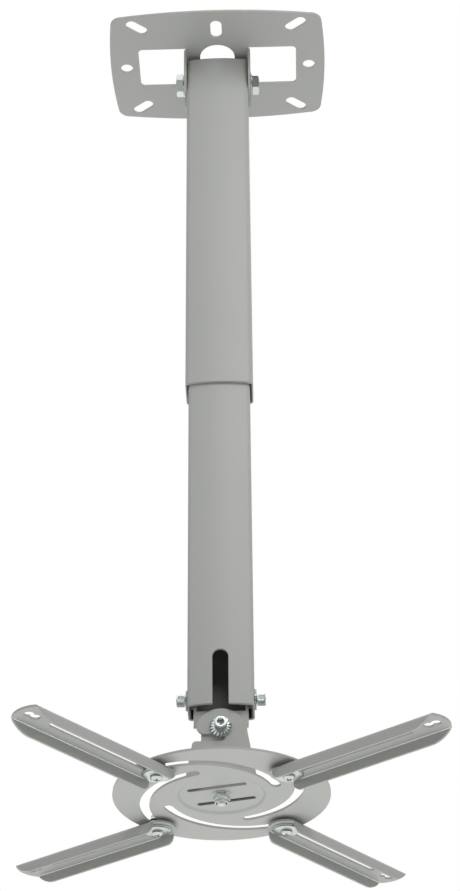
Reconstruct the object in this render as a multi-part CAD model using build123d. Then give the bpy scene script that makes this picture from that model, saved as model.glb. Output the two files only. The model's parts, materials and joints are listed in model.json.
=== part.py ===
from build123d import *
from math import atan2, cos, degrees, hypot, radians, sin, sqrt
import os

# Projector ceiling mount, millimetres. X right, Y away from the viewer, Z up.
# Origin: middle of the ceiling plate's top face. Rest: column drawn right out.

# Driving sizes
drop = 650.0                # ceiling to underside of the disc, drawn out
travel = 220.0              # how far the column telescopes

plate_width = 174.6
plate_depth = 125.0
plate_side_bow = 3.7        # bow of the two short edges
plate_edge_bow = 6.4        # bow of the two long edges
plate_corner = 9.0
plate_sheet = 2.0
window_margin = 23.3        # outer end of each window to the plate's short edge
window_height = 42.8
window_corner = 3.5
ear_width = 40.0
ear_bend = 1.5              # inside radius of the fold
corner_slot_side = 23.6     # corner slots from the short and the long edges
corner_slot_end = 16.0
corner_slot_angle = 38.8
mount_slot_length = 19.0
mount_slot_width = 9.0
end_slot_margin = 19.7
side_hole_margin = 12.9
side_hole_diameter = 10.0
cable_hole_width = 28.0
cable_hole_length = 50.2

pivot_z = -22.0
pivot_diameter = 10.0
pivot_head_flats = 16.0
pivot_head_height = 5.8
pivot_washer_diameter = 19.0
pivot_washer_sheet = 1.0
pivot_nut_height = 8.0

outer_half_width = 24.7
outer_corner_y = 14.0
outer_crown_y = 16.4
outer_radius = 4.0
tube_wall = 2.0
tube_gap = 0.3              # running clearance between the tubes
outer_top = -8.2
overlap = 58.0              # inner tube left inside when drawn out
nut_room = 19.56            # from the pivot nuts to the inner tube pushed right in
foot_height = 60.9          # lower end of the inner tube above the disc's underside
foot_slot_width = 10.8
foot_slot_length = 40.8

lock_diameter = 6.0
lock_rises = (36.8, 10.8)   # above the lower end of the outer tube
lock_flats = 10.0
lock_nut_height = 6.0
lock_head_height = 4.0
lock_reach = 3.0            # shank left showing between nut and head

tilt_height = 70.0          # tilt axis above the disc's underside
screw_diameter = 5.0
cap_diameter = 8.5
cap_height = 5.8
cap_socket = 4.0
cap_socket_depth = 2.6
tilt_washer_diameter = 14.0
tilt_washer_sheet = 1.8
bracket_sheet = 2.0
bracket_half_width = 18.4
bracket_round = 9.4
bracket_bend = 1.5
web_front_y = -6.6
web_top_height = 58.7
web_shoulder_height = 47.0
web_foot_height = 30.0
web_foot_half = 13.2
tilt_nut_height = 4.0
nut_flats = 8.0

roll_height = 45.8          # roll axis above the disc's underside
roll_round = 17.6
roll_round_height = 42.0
roll_foot_half = 23.5
hook_drop = 7.4             # bolt seat to the level leg of the hook slot
roll_washer_diameter = 15.0
roll_washer_sheet = 2.6
base_back_y = 19.0
base_corner = 7.0
hook_upper_lip = 6.0
hook_lower_lip = 2.6

disc_radius = 71.5
disc_sheet = 1.5
dish_radius = 29.0
dish_depth = 1.5
dish_slope = 1.4
dish_bend = 0.5             # inside radius of the pressed step
slit_length = 40.0
slit_width = 4.0
slit_offset = 11.2
slit_angle = -15.0
arc_slot_width = 6.5
arc_radius = 54.2
arc_offset = 15.4
arc_offset_angle = 169.6    # direction of the first slot's centre, degrees
arc_outer_end = -119.7      # ends of the first slot, seen from its own centre
arc_inner_end = -20.5

centre_diameter = 6.0
centre_flats = 10.0
centre_nut_height = 6.0
centre_hex_height = 4.0
centre_collar = 9.4         # round locking collar under the hexagon
centre_collar_bore = 7.6    # seat of its insert
centre_insert_depth = 1.0
centre_head_height = 4.0
centre_washer_diameter = 12.0
centre_washer_sheet = 0.8
centre_end = 0.8            # bolt end showing below the nut

arm_sheet = 1.5
arm_half_width = 12.5
arm_flange = 8.5            # over the sheet
arm_bend = 1.5
arm_inner_round = 12.5      # inner end, about the screw
arm_outer_round = 19.5
arm_span = 101.0            # from the screw to the centre of the outer end
arm_flange_start = 1.0      # where the flanges have their full height
arm_flange_round = 6.0      # their curve at the inner end
arm_slot_stop = 8.2         # slot's end short of the outer centre
arm_hole_shift = 9.3        # double hole past it
arm_hole_diameter = 6.6
arm_hole_pitch = 5.4
arm_arcs = (2.3, 0.0, 0.0, 0.0)     # each screw from the outer end of its slot, degrees
arm_swings = (1.9, 6.4, 4.2, 7.8)   # each arm from the radial line, as in the photo
pan_diameter = 8.0
pan_height = 2.6
arm_spacer_diameter = 14.0  # ring between disc and arm
arm_spacer_sheet = 2.6
arm_washer_diameter = 19.0  # lies between the arm's bends
arm_washer_sheet = 1.2
arm_ring_diameter = 17.6    # second washer, under the head
arm_ring_sheet = 0.8
arm_nut_height = 4.6
arm_nut_flange = 11.6
arm_nut_flange_height = 1.2

face_gap = 0.05             # between faces that turn or slide on each other
bore_gap = 0.05             # radial, shaft in hole
thread_gap = 0.02           # radial, screw in its nut
cut = 60.0                  # length of cutting tools

# Places that follow from the sizes
disc_low = -drop
tilt_z = disc_low + tilt_height
roll_z = disc_low + roll_height
roll_round_z = disc_low + roll_round_height
web_top = disc_low + web_top_height
web_shoulder = disc_low + web_shoulder_height
web_foot = disc_low + web_foot_height
inner_bottom = disc_low + foot_height
foot_slot_top = inner_bottom + foot_slot_length
pivot_corner = pivot_head_flats / 2 / cos(radians(30))
outer_bottom = pivot_z - pivot_corner - nut_room - travel - overlap
window_end = plate_width / 2 - window_margin
corner_slot_x = plate_width / 2 - corner_slot_side
corner_slot_y = plate_depth / 2 - corner_slot_end
side_hole_x = plate_width / 2 - side_hole_margin
end_slot_y = plate_depth / 2 - end_slot_margin
arm_slot_end = arm_span - arm_slot_stop
arm_hole_at = arm_span + arm_hole_shift

os.makedirs("parts", exist_ok=True)


# Helpers
def save(name, shape):
    shape.label = name
    export_step(shape, "parts/" + name + ".step")


def along_x(shape, x, y, z, sign=1):
    """Shape made along +Z laid along X, pointing to the side given by sign."""
    return Pos(x, y, z) * Rot(0, 90 * sign, 0) * shape


def along_y(shape, x, y, z, sign=1):
    """Shape made along +Z laid along Y, pointing away (1) or to the viewer (-1)."""
    return Pos(x, y, z) * Rot(-90 * sign, 0, 0) * shape


def rod(radius, length):
    return extrude(Circle(radius), length)


def washer(outer, bore, height):
    return extrude(Circle(outer) - Circle(bore), height)


def hexagon(flats, height, bevel=0.7):
    """Hex prism with both end corners turned off at 30 degrees."""
    corner = flats / 2 / cos(radians(30))
    prism = extrude(RegularPolygon(corner, 6), height)
    rise = bevel * 0.58
    turned = Polyline((0, 0), (corner - bevel, 0), (corner, rise), (corner, height - rise),
                      (corner - bevel, height), (0, height), close=True)
    return prism & revolve(Plane.XZ * make_face(turned), Axis.Z)


def hex_nut(flats, bore, height):
    return hexagon(flats, height) - Pos(0, 0, -1) * rod(bore, height + 2)


def hex_bolt(flats, head_height, radius, length):
    """Head from 0 upwards, shank downwards."""
    shank = Pos(0, 0, -length) * rod(radius, length)
    return hexagon(flats, head_height) + chamfer(shank.edges().group_by(Axis.Z)[0], radius * 0.15)


def cap_screw(length):
    """Socket cap head from 0 upwards, shank downwards."""
    head = rod(cap_diameter / 2, cap_height)
    head = chamfer(head.edges().group_by(Axis.Z)[-1], 0.4)
    socket = extrude(RegularPolygon(cap_socket / 2 / cos(radians(30)), 6), cap_socket_depth)
    head -= Pos(0, 0, cap_height - cap_socket_depth) * socket
    return head + Pos(0, 0, -length) * rod(screw_diameter / 2, length)


def tube_face(inset, radius):
    """Rectangle with bowed front and back, the outer tube's section moved in by inset."""
    half = outer_half_width - inset
    corner = outer_corner_y - inset
    crown = outer_crown_y - inset
    edges = [
        Line((half, -corner), (half, corner)),
        ThreePointArc((half, corner), (0, crown), (-half, corner)),
        Line((-half, corner), (-half, -corner)),
        ThreePointArc((-half, -corner), (0, -crown), (half, -corner)),
    ]
    face = make_face(edges)
    return fillet(face.vertices(), radius)


def tube(inset, outer_radius_, inner_radius_, top, bottom):
    wall = tube_face(inset, outer_radius_) - tube_face(inset + tube_wall, inner_radius_)
    return Pos(0, 0, bottom) * extrude(wall, top - bottom)


# Ceiling plate with its two folded ears
half_w = plate_width / 2
half_d = plate_depth / 2
corner_x = half_w - plate_side_bow
corner_y = half_d - plate_edge_bow
outline = make_face([
    ThreePointArc((-corner_x, -corner_y), (0, -half_d), (corner_x, -corner_y)),
    ThreePointArc((corner_x, -corner_y), (half_w, 0), (corner_x, corner_y)),
    ThreePointArc((corner_x, corner_y), (0, half_d), (-corner_x, corner_y)),
    ThreePointArc((-corner_x, corner_y), (-half_w, 0), (-corner_x, -corner_y)),
])
outline = fillet(outline.vertices(), plate_corner)

ear_inner = outer_half_width + face_gap
ear_outer = ear_inner + plate_sheet
fold_x = ear_inner - ear_bend
fold_z = -plate_sheet - ear_bend
ear_low = pivot_z - ear_width / 2

window_length = window_end - fold_x
window = Rectangle(window_length, window_height)
window = fillet(window.vertices().group_by(Axis.X)[-1], window_corner)
mount_slot = SlotOverall(mount_slot_length, mount_slot_width)
for sx in (-1, 1):
    centre = sx * (fold_x + window_length / 2)
    outline -= Pos(centre, 0) * Rot(0, 0, 0 if sx > 0 else 180) * window
    outline -= Pos(sx * side_hole_x, 0) * Circle(side_hole_diameter / 2)
    for sy in (-1, 1):
        outline -= Pos(sx * corner_slot_x, sy * corner_slot_y) * Rot(0, 0, sx * sy * corner_slot_angle) * mount_slot
for sy in (-1, 1):
    outline -= Pos(0, sy * end_slot_y) * Rot(0, 0, 90) * mount_slot
outline -= Rot(0, 0, 90) * SlotOverall(cable_hole_length, cable_hole_width)
ceiling_plate = extrude(outline, -plate_sheet)

fold_start = fold_x - 2
bend_mid = cos(radians(45))
big = ear_bend + plate_sheet
ear_edges = [
    Line((fold_start, 0), (fold_x, 0)),
    ThreePointArc((fold_x, 0), (fold_x + big * bend_mid, fold_z + big * bend_mid), (ear_outer, fold_z)),
    Line((ear_outer, fold_z), (ear_outer, ear_low)),
    Line((ear_outer, ear_low), (ear_inner, ear_low)),
    Line((ear_inner, ear_low), (ear_inner, fold_z)),
    ThreePointArc((ear_inner, fold_z), (fold_x + ear_bend * bend_mid, fold_z + ear_bend * bend_mid),
                  (fold_x, -plate_sheet)),
    Line((fold_x, -plate_sheet), (fold_start, -plate_sheet)),
    Line((fold_start, -plate_sheet), (fold_start, 0)),
]
ear = extrude(Plane.XZ * make_face(ear_edges), ear_width / 2, both=True)
ear_side = Pos(0, pivot_z / 2) * Rectangle(ear_width, -pivot_z) + Pos(0, pivot_z) * Circle(ear_width / 2)
ear_side -= Pos(0, pivot_z) * Circle(pivot_diameter / 2 + bore_gap)
ear &= extrude(Plane.YZ * ear_side, cut)
cable_tool = extrude(Rot(0, 0, 90) * SlotOverall(cable_hole_length, cable_hole_width), -plate_sheet)
ear -= cable_tool
ceiling_plate += ear
ceiling_plate += mirror(ear, Plane.YZ)
save("ceiling_plate", ceiling_plate)

# Outer tube, pivot bolts, their washers and nuts
outer_tube = tube(0, outer_radius, outer_radius - tube_wall, outer_top, outer_bottom)
outer_tube -= along_x(rod(pivot_diameter / 2 + bore_gap, 2 * cut), -cut, 0, pivot_z)
lock_heights = [outer_bottom + rise for rise in lock_rises]
for height in lock_heights:
    outer_tube -= along_y(rod(lock_diameter / 2 + bore_gap, cut), 0, 0, height)
save("outer_tube", outer_tube)

pivot_nut_face = outer_half_width - tube_wall
pivot_head_face = ear_outer + pivot_washer_sheet + 2 * face_gap
pivot_length = pivot_head_face - pivot_nut_face + pivot_nut_height + 1
for side, sign in (("left", -1), ("right", 1)):
    bolt = hex_bolt(pivot_head_flats, pivot_head_height, pivot_diameter / 2, pivot_length)
    save("pivot_bolt_" + side, along_x(bolt, sign * pivot_head_face, 0, pivot_z, sign))
    ring = washer(pivot_washer_diameter / 2, pivot_diameter / 2 + thread_gap, pivot_washer_sheet)
    save("pivot_washer_" + side, along_x(ring, sign * (ear_outer + face_gap), 0, pivot_z, sign))
    nut = hex_nut(pivot_head_flats, pivot_diameter / 2 + thread_gap, pivot_nut_height)
    save("pivot_nut_" + side, along_x(nut, sign * (pivot_nut_face - pivot_nut_height), 0, pivot_z, sign))

# Inner tube with the open slot at its foot
inner_inset = tube_wall + tube_gap
inner_top = outer_bottom + overlap
inner_radius = outer_radius - tube_wall + 1.0
inner_tube = tube(inner_inset, inner_radius, 0.8, inner_top, inner_bottom)
slot_mid = foot_slot_top - foot_slot_width / 2
foot_tool = Pos(0, (slot_mid + inner_bottom - 1) / 2) * Rectangle(foot_slot_width, slot_mid - inner_bottom + 1)
foot_tool += Pos(0, slot_mid) * Circle(foot_slot_width / 2)
inner_tube -= extrude(Plane.XZ * foot_tool, cut)
inner_tube -= along_x(rod(screw_diameter / 2 + bore_gap, 2 * cut), -cut, 0, tilt_z)
save("inner_tube", inner_tube)

# Height lock screws at the back
lock_tip = outer_crown_y - inner_inset + thread_gap
lock_nut_face = outer_crown_y
lock_head_face = lock_nut_face + lock_nut_height + lock_reach
for place, height in zip(("upper", "lower"), lock_heights):
    bolt = hex_bolt(lock_flats, lock_head_height, lock_diameter / 2, lock_head_face - lock_tip)
    save("lock_screw_" + place, along_y(bolt, 0, lock_head_face, height))
    nut = hex_nut(lock_flats, lock_diameter / 2 + thread_gap, lock_nut_height)
    save("lock_nut_" + place, along_y(nut, 0, lock_nut_face, height))

# Tilt bracket: U channel, web at the front, flanges inside the tube
web_back_y = web_front_y + bracket_sheet
inside = bracket_half_width - bracket_sheet
channel = make_face(Polyline(
    (-bracket_half_width, bracket_round), (-bracket_half_width, web_front_y),
    (bracket_half_width, web_front_y), (bracket_half_width, bracket_round),
    (inside, bracket_round), (inside, web_back_y), (-inside, web_back_y),
    (-inside, bracket_round), close=True))
outer_bends = [v for v in channel.vertices() if abs(v.Y - web_front_y) < 0.01]
channel = fillet(outer_bends, bracket_bend + bracket_sheet)
inner_bends = [v for v in channel.vertices() if abs(v.Y - web_back_y) < 0.01 and abs(abs(v.X) - inside) < 0.01]
channel = fillet(inner_bends, bracket_bend)
bracket_top = tilt_z + bracket_round
tilt_bracket = Pos(0, 0, web_foot) * extrude(channel, bracket_top - web_foot)
flange_side = make_face(Polyline(
    (-bracket_round, tilt_z), (bracket_round, tilt_z), (web_back_y + 3, web_shoulder + 2),
    (web_back_y, web_shoulder), (web_back_y, web_foot), (-bracket_round, web_foot), close=True))
flange_side += Pos(0, tilt_z) * Circle(bracket_round)
flange_side -= Pos(0, tilt_z) * Circle(screw_diameter / 2 + bore_gap)
tilt_bracket &= extrude(Plane.YZ * flange_side, cut, both=True)
tilt_bracket -= Pos(0, web_front_y, (web_top + bracket_top) / 2 + 1) * Box(2 * inside, 9, bracket_top - web_top + 2)
for sx in (-1, 1):
    tool = Pos(sx * (web_foot_half + 10), 0, web_shoulder - 10) * Box(20, 40, 20)
    tilt_bracket -= tool
tilt_bracket -= along_y(rod(screw_diameter / 2 + bore_gap, cut), 0, -cut / 2, roll_z)
save("tilt_bracket", tilt_bracket)

# Tilt screws with washers, spacers and nuts
wall_outer = outer_half_width - inner_inset
wall_inner = wall_outer - tube_wall
washer_face = wall_outer + face_gap
head_face = washer_face + tilt_washer_sheet
spacer_height = wall_inner - face_gap - bracket_half_width
nut_face = bracket_half_width - bracket_sheet
screw_length = head_face - nut_face + tilt_nut_height + 1
for side, sign in (("left", -1), ("right", 1)):
    save("tilt_screw_" + side, along_x(cap_screw(screw_length), sign * head_face, 0, tilt_z, sign))
    ring = washer(tilt_washer_diameter / 2, screw_diameter / 2 + thread_gap, tilt_washer_sheet)
    ring = chamfer(ring.edges().filter_by(GeomType.CIRCLE).group_by(Axis.Z)[-1].sort_by(SortBy.RADIUS)[-1], 1.0)
    save("tilt_washer_" + side, along_x(ring, sign * washer_face, 0, tilt_z, sign))
    ring = washer(6.0, screw_diameter / 2 + thread_gap, spacer_height)
    save("tilt_spacer_" + side, along_x(ring, sign * bracket_half_width, 0, tilt_z, sign))
    nut = hex_nut(nut_flats, screw_diameter / 2 + thread_gap, tilt_nut_height)
    save("tilt_nut_" + side, along_x(nut, sign * (nut_face - tilt_nut_height), 0, tilt_z, sign))

# Disc: dished centre, two slits, four curved slots
disc_top = disc_low + disc_sheet
dish_low = disc_low + dish_depth
dish_top = dish_low + disc_sheet
flat_radius = dish_radius - dish_slope
bore = centre_diameter / 2 + bore_gap
skew = disc_sheet * (hypot(dish_slope, dish_depth) - dish_depth) / dish_slope
section = make_face(Polyline(
    (bore, dish_low), (flat_radius, dish_low), (dish_radius, disc_low), (disc_radius, disc_low),
    (disc_radius, disc_top), (dish_radius - skew, disc_top), (flat_radius - skew, dish_top),
    (bore, dish_top), close=True))
dish_crest = dish_bend + disc_sheet
for x, z, bend in ((flat_radius, dish_low, dish_bend), (dish_radius - skew, disc_top, dish_bend),
                   (dish_radius, disc_low, dish_crest), (flat_radius - skew, dish_top, dish_crest)):
    section = fillet([v for v in section.vertices() if hypot(v.X - x, v.Y - z) < 0.01], bend)
disc = revolve(Plane.XZ * section, Axis.Z)
slit = Pos(0, 0, disc_low) * extrude(SlotOverall(slit_length, slit_width), cut)
for side in (-1, 1):
    disc -= Rot(0, 0, slit_angle) * Pos(0, side * slit_offset, 0) * slit
arc_x = arc_offset * cos(radians(arc_offset_angle))
arc_y = arc_offset * sin(radians(arc_offset_angle))
arc_line = CenterArc((arc_x, arc_y), arc_radius, arc_outer_end, arc_inner_end - arc_outer_end)
arc_tool = Pos(0, 0, disc_low - 1) * extrude(SlotArc(arc_line, arc_slot_width), cut)
for quarter in range(4):
    disc -= Rot(0, 0, 90 * quarter) * arc_tool
save("disc", disc)

# Roll bracket: front plate with the hook slot, folded back to a base on the dish
plate_back = web_front_y - face_gap
plate_front = plate_back - bracket_sheet
base_low = dish_top + face_gap
base_top = base_low + bracket_sheet
roll_top = roll_round_z + roll_round
ell = make_face(Polyline(
    (plate_front, roll_top), (plate_back, roll_top), (plate_back, base_top), (base_back_y, base_top),
    (base_back_y, base_low), (plate_front, base_low), close=True))
inner_bend = [v for v in ell.vertices() if abs(v.X - plate_back) < 0.01 and abs(v.Y - base_top) < 0.01]
ell = fillet(inner_bend, bracket_bend)
outer_bend = [v for v in ell.vertices() if abs(v.X - plate_front) < 0.01 and abs(v.Y - base_low) < 0.01]
ell = fillet(outer_bend, bracket_bend + bracket_sheet)
roll_bracket = extrude(Plane.YZ * ell, roll_foot_half, both=True)
front = make_face(Polyline(
    (-roll_round, roll_round_z), (roll_round, roll_round_z), (roll_foot_half, base_top + 4),
    (roll_foot_half, base_low), (-roll_foot_half, base_low), (-roll_foot_half, base_top + 4), close=True))
front += Pos(0, roll_round_z) * Circle(roll_round)
hook_half = screw_diameter / 2 + 2 * bore_gap
level = roll_z - hook_drop
front -= Pos(0, (roll_z + level) / 2) * Rectangle(2 * hook_half, hook_drop)
front -= Pos(0, roll_z) * Circle(hook_half)
front -= Pos(0, level) * Circle(hook_half)
front -= Pos(-cut / 2, level) * Rectangle(cut, 2 * hook_half)
lip_low = level + hook_half
lip_z = lip_low + hook_upper_lip
lip_rise = lip_z - roll_round_z
lip_x = -sqrt((roll_round - hook_upper_lip) ** 2 - lip_rise ** 2)
lip_corner = make_face(Polyline((lip_x, lip_z), (3 * lip_x, roll_round_z + 3 * lip_rise), (3 * lip_x, lip_low),
                                (lip_x, lip_low), close=True))
front -= lip_corner - Pos(lip_x, lip_z) * Circle(hook_upper_lip)
roll_bracket &= extrude(Plane.XZ * front, cut, both=True)
base_plan = Pos(0, (plate_front + base_back_y) / 2) * Rectangle(2 * roll_foot_half, base_back_y - plate_front)
base_plan = fillet(base_plan.vertices().group_by(Axis.Y)[-1], base_corner)
base_plan -= Circle(centre_diameter / 2 + thread_gap)
roll_bracket &= Pos(0, 0, base_low - 1) * extrude(base_plan, cut)
lip = [e for e in roll_bracket.edges().filter_by(Axis.Y)
       if e.center().X < -roll_round and abs(e.center().Z - level + hook_half) < 0.05]
roll_bracket = fillet(lip, hook_lower_lip)
save("roll_bracket", roll_bracket)

# Roll screw through hook slot and web, nut behind the web
roll_washer_face = plate_front - face_gap
roll_head_face = roll_washer_face - roll_washer_sheet
roll_length = web_back_y - roll_head_face + tilt_nut_height + 1
save("roll_screw", along_y(cap_screw(roll_length), 0, roll_head_face, roll_z, -1))
ring = washer(roll_washer_diameter / 2, screw_diameter / 2 + thread_gap, roll_washer_sheet)
ring = chamfer(ring.edges().filter_by(GeomType.CIRCLE).group_by(Axis.Z)[-1].sort_by(SortBy.RADIUS)[-1], 0.9)
save("roll_washer", along_y(ring, 0, roll_washer_face, roll_z, -1))
nut = hex_nut(nut_flats, screw_diameter / 2 + thread_gap, tilt_nut_height)
save("roll_nut", along_y(nut, 0, web_back_y, roll_z))

# Centre bolt, head on the base, washer and nut under the dish
washer_top = dish_low - face_gap
nut_top = washer_top - centre_washer_sheet
nut_low = nut_top - centre_nut_height
bolt = hex_bolt(centre_flats, centre_head_height, centre_diameter / 2, base_top - nut_low + centre_end)
save("centre_bolt", Pos(0, 0, base_top) * bolt)
ring = washer(centre_washer_diameter / 2, centre_diameter / 2 + thread_gap, centre_washer_sheet)
save("centre_washer", Pos(0, 0, nut_top) * ring)
collar = rod(centre_collar / 2, centre_nut_height)
collar = fillet(collar.edges().group_by(Axis.Z)[0], 0.8)
nut = Pos(0, 0, centre_nut_height - centre_hex_height) * hexagon(centre_flats, centre_hex_height) + collar
nut -= rod(centre_diameter / 2 + thread_gap, centre_nut_height)
nut -= rod(centre_collar_bore / 2, centre_insert_depth)
save("centre_nut", Pos(0, 0, nut_low) * nut)

# One arm, its screw at the origin, channel along +X, open side down, top of web at Z = 0
inside = arm_half_width - arm_sheet
gutter = make_face(Polyline(
    (-arm_half_width, 0), (arm_half_width, 0), (arm_half_width, -arm_flange), (inside, -arm_flange),
    (inside, -arm_sheet), (-inside, -arm_sheet), (-inside, -arm_flange), (-arm_half_width, -arm_flange),
    close=True))
outer_bends = [v for v in gutter.vertices() if abs(v.Y) < 0.01]
gutter = fillet(outer_bends, arm_bend + arm_sheet)
inner_bends = [v for v in gutter.vertices() if abs(v.Y + arm_sheet) < 0.01 and abs(abs(v.X) - inside) < 0.01]
gutter = fillet(inner_bends, arm_bend)
arm_tip = arm_span + arm_outer_round
arm_mid = arm_span / 2
arm = extrude(Plane.YZ * gutter, cut + arm_tip, both=True)
blank = Pos(arm_mid, 0) * Rectangle(arm_span, 2 * arm_outer_round)
blank += Circle(arm_inner_round)
blank += Pos(arm_span, 0) * Circle(arm_outer_round)
blank -= Pos(arm_slot_end / 2, 0) * SlotOverall(arm_slot_end + screw_diameter + 4 * bore_gap,
                                                screw_diameter + 4 * bore_gap)
for shift in (-1, 1):
    blank -= Pos(arm_hole_at + shift * arm_hole_pitch / 2, 0) * Circle(arm_hole_diameter / 2)
arm &= extrude(blank, cut, both=True)

# The flanges run out to nothing at both ends in round curves, the web goes on past them
level_length = arm_span - arm_flange_start
side_blank = Pos(arm_flange_start + level_length / 2, -arm_flange / 2) * Rectangle(level_length, arm_flange)
side_blank += Pos(arm_flange_start, arm_flange_round - arm_flange) * Circle(arm_flange_round)
side_blank += Pos(arm_span, arm_outer_round - arm_flange) * Circle(arm_outer_round)
side_blank += Pos(arm_mid, -arm_sheet / 2) * Rectangle(2 * arm_tip, arm_sheet)
arm &= extrude(Plane.XZ * side_blank, cut, both=True)

spacer_low = disc_low - face_gap - arm_spacer_sheet
arm_top = spacer_low - face_gap
arm_washer_low = arm_top - arm_sheet - face_gap - arm_washer_sheet
screw_face = arm_washer_low - arm_ring_sheet
arm_nut_low = disc_top + face_gap
arm_screw_top = arm_nut_low + arm_nut_height + 1

dome = make_face([
    Line((0, 0), (pan_diameter / 2, 0)),
    Line((pan_diameter / 2, 0), (pan_diameter / 2, -pan_height * 0.45)),
    ThreePointArc((pan_diameter / 2, -pan_height * 0.45), (pan_diameter * 0.36, -pan_height * 0.88), (0, -pan_height)),
    Line((0, -pan_height), (0, 0)),
])
pan = revolve(Plane.XZ * dome, Axis.Z)
recess = extrude(Rectangle(4.6, 1.1) + Rectangle(1.1, 4.6), 1.6)
pan -= Pos(0, 0, -pan_height - 0.2) * recess
arm_screw = pan + rod(screw_diameter / 2, arm_screw_top - screw_face)
arm_nut = hex_nut(nut_flats, screw_diameter / 2 + thread_gap, arm_nut_height)
arm_nut += washer(arm_nut_flange / 2, screw_diameter / 2 + thread_gap, arm_nut_flange_height)
arm_spacer = washer(arm_spacer_diameter / 2, screw_diameter / 2 + thread_gap, arm_spacer_sheet)
arm_washer = washer(arm_washer_diameter / 2, screw_diameter / 2 + bore_gap, arm_washer_sheet)
arm_ring = washer(arm_ring_diameter / 2, screw_diameter / 2 + thread_gap, arm_ring_sheet)
arm_ring = chamfer(arm_ring.edges().filter_by(GeomType.CIRCLE).group_by(Axis.Z)[0].sort_by(SortBy.RADIUS)[-1], 0.3)
for number, (arc, swing) in enumerate(zip(arm_arcs, arm_swings), start=1):
    along = radians(arc_outer_end + arc)
    first_x = arc_x + arc_radius * cos(along)
    first_y = arc_y + arc_radius * sin(along)
    angle = degrees(atan2(first_y, first_x)) + 90 * (number - 1)
    x = hypot(first_x, first_y) * cos(radians(angle))
    y = hypot(first_x, first_y) * sin(radians(angle))
    turn = Rot(0, 0, angle + swing)
    save("arm_%d" % number, Pos(x, y, arm_top) * turn * arm)
    save("arm_screw_%d" % number, Pos(x, y, screw_face) * turn * arm_screw)
    save("arm_spacer_%d" % number, Pos(x, y, spacer_low) * turn * arm_spacer)
    save("arm_washer_%d" % number, Pos(x, y, arm_washer_low) * turn * arm_washer)
    save("arm_ring_%d" % number, Pos(x, y, screw_face) * turn * arm_ring)
    save("arm_nut_%d" % number, Pos(x, y, arm_nut_low) * turn * arm_nut)
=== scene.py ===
# Telescopic ceiling mount for a projector: the looks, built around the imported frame. Metres.
import json
import math
import bpy
import numpy as np
from mathutils import Matrix, Vector


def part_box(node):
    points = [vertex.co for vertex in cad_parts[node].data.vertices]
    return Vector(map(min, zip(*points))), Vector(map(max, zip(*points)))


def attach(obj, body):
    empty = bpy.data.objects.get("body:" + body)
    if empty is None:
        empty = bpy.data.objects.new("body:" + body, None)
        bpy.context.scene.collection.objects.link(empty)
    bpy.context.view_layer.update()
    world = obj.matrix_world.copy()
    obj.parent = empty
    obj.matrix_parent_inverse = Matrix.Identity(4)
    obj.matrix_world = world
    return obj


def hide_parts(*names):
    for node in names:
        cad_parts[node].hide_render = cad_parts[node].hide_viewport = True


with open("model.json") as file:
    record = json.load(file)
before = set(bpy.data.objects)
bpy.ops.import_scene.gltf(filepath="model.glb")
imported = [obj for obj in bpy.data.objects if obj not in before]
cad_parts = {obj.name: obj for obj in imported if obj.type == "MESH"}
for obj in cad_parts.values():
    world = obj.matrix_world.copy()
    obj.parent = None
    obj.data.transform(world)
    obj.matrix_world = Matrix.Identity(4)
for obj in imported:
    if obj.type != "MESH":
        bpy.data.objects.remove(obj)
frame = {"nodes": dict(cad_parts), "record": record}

nodes = frame["nodes"]
behaviour = frame["record"]["behaviour"]
bodyOf = {node: body for body, members in behaviour["bodies"].items() for node in members}
joints = {joint["name"]: joint for joint in behaviour["joints"]}
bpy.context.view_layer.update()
mm = 0.001
tau = 2 * math.pi
print("frame: %d nodes" % len(nodes))

# Camera: below and in front of the mount, looking up, as the photograph was taken
shot = {
    "place": (0.04006, -1.31646, -1.24939),
    "ahead": (-0.02067, 0.83270, 0.55334),
    "up": (0.02201, -0.55295, 0.83292),
    "lens": 88.215,
    "sensor": 36.0,
    "farClip": 50.0,
}


def makeCamera(spec):
    ahead = Vector(spec["ahead"]).normalized()
    right = ahead.cross(Vector(spec["up"])).normalized()
    up = right.cross(ahead)
    turn = Matrix((right, up, -ahead)).transposed().to_4x4()
    data = bpy.data.cameras.new("camera")
    data.lens = spec["lens"]
    data.sensor_width = spec["sensor"]
    data.clip_end = spec["farClip"]
    camera = bpy.data.objects.new("camera", data)
    camera.matrix_world = Matrix.Translation(spec["place"]) @ turn
    bpy.context.scene.collection.objects.link(camera)
    bpy.context.scene.camera = camera


makeCamera(shot)
print("camera: done")


# Shader sums: a wrapped socket takes part in + - * / and adds the Math nodes for them
class Wire:
    def __init__(self, socket):
        self.socket = socket

    # any node: its type, its settings, then the values or links of its sockets
    @staticmethod
    def node(tree, kind, settings=None, inputs=None, output=0):
        made = tree.nodes.new(kind)
        for key, value in (settings or {}).items():
            setattr(made, key, value)
        for key, value in (inputs or {}).items():
            if isinstance(value, Wire):
                tree.links.new(value.socket, made.inputs[key])
            else:
                made.inputs[key].default_value = value
        return Wire(made.outputs[output])

    # all outputs of the node that this socket belongs to, by name
    def family(self):
        return {socket.name: Wire(socket) for socket in self.socket.node.outputs}

    def calc(self, operation, first, second=0.0, clamp=False):
        settings = {"operation": operation, "use_clamp": clamp}
        return Wire.node(self.socket.id_data, "ShaderNodeMath", settings, {0: first, 1: second})

    def __add__(self, other):
        return self.calc("ADD", self, other)

    def __radd__(self, other):
        return self.calc("ADD", other, self)

    def __sub__(self, other):
        return self.calc("SUBTRACT", self, other)

    def __rsub__(self, other):
        return self.calc("SUBTRACT", other, self)

    def __mul__(self, other):
        return self.calc("MULTIPLY", self, other)

    def __rmul__(self, other):
        return self.calc("MULTIPLY", other, self)

    def __truediv__(self, other):
        return self.calc("DIVIDE", self, other)

    def size(self):
        return self.calc("ABSOLUTE", self)

    def clamped(self):
        return self.calc("ADD", self, 0.0, clamp=True)


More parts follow.
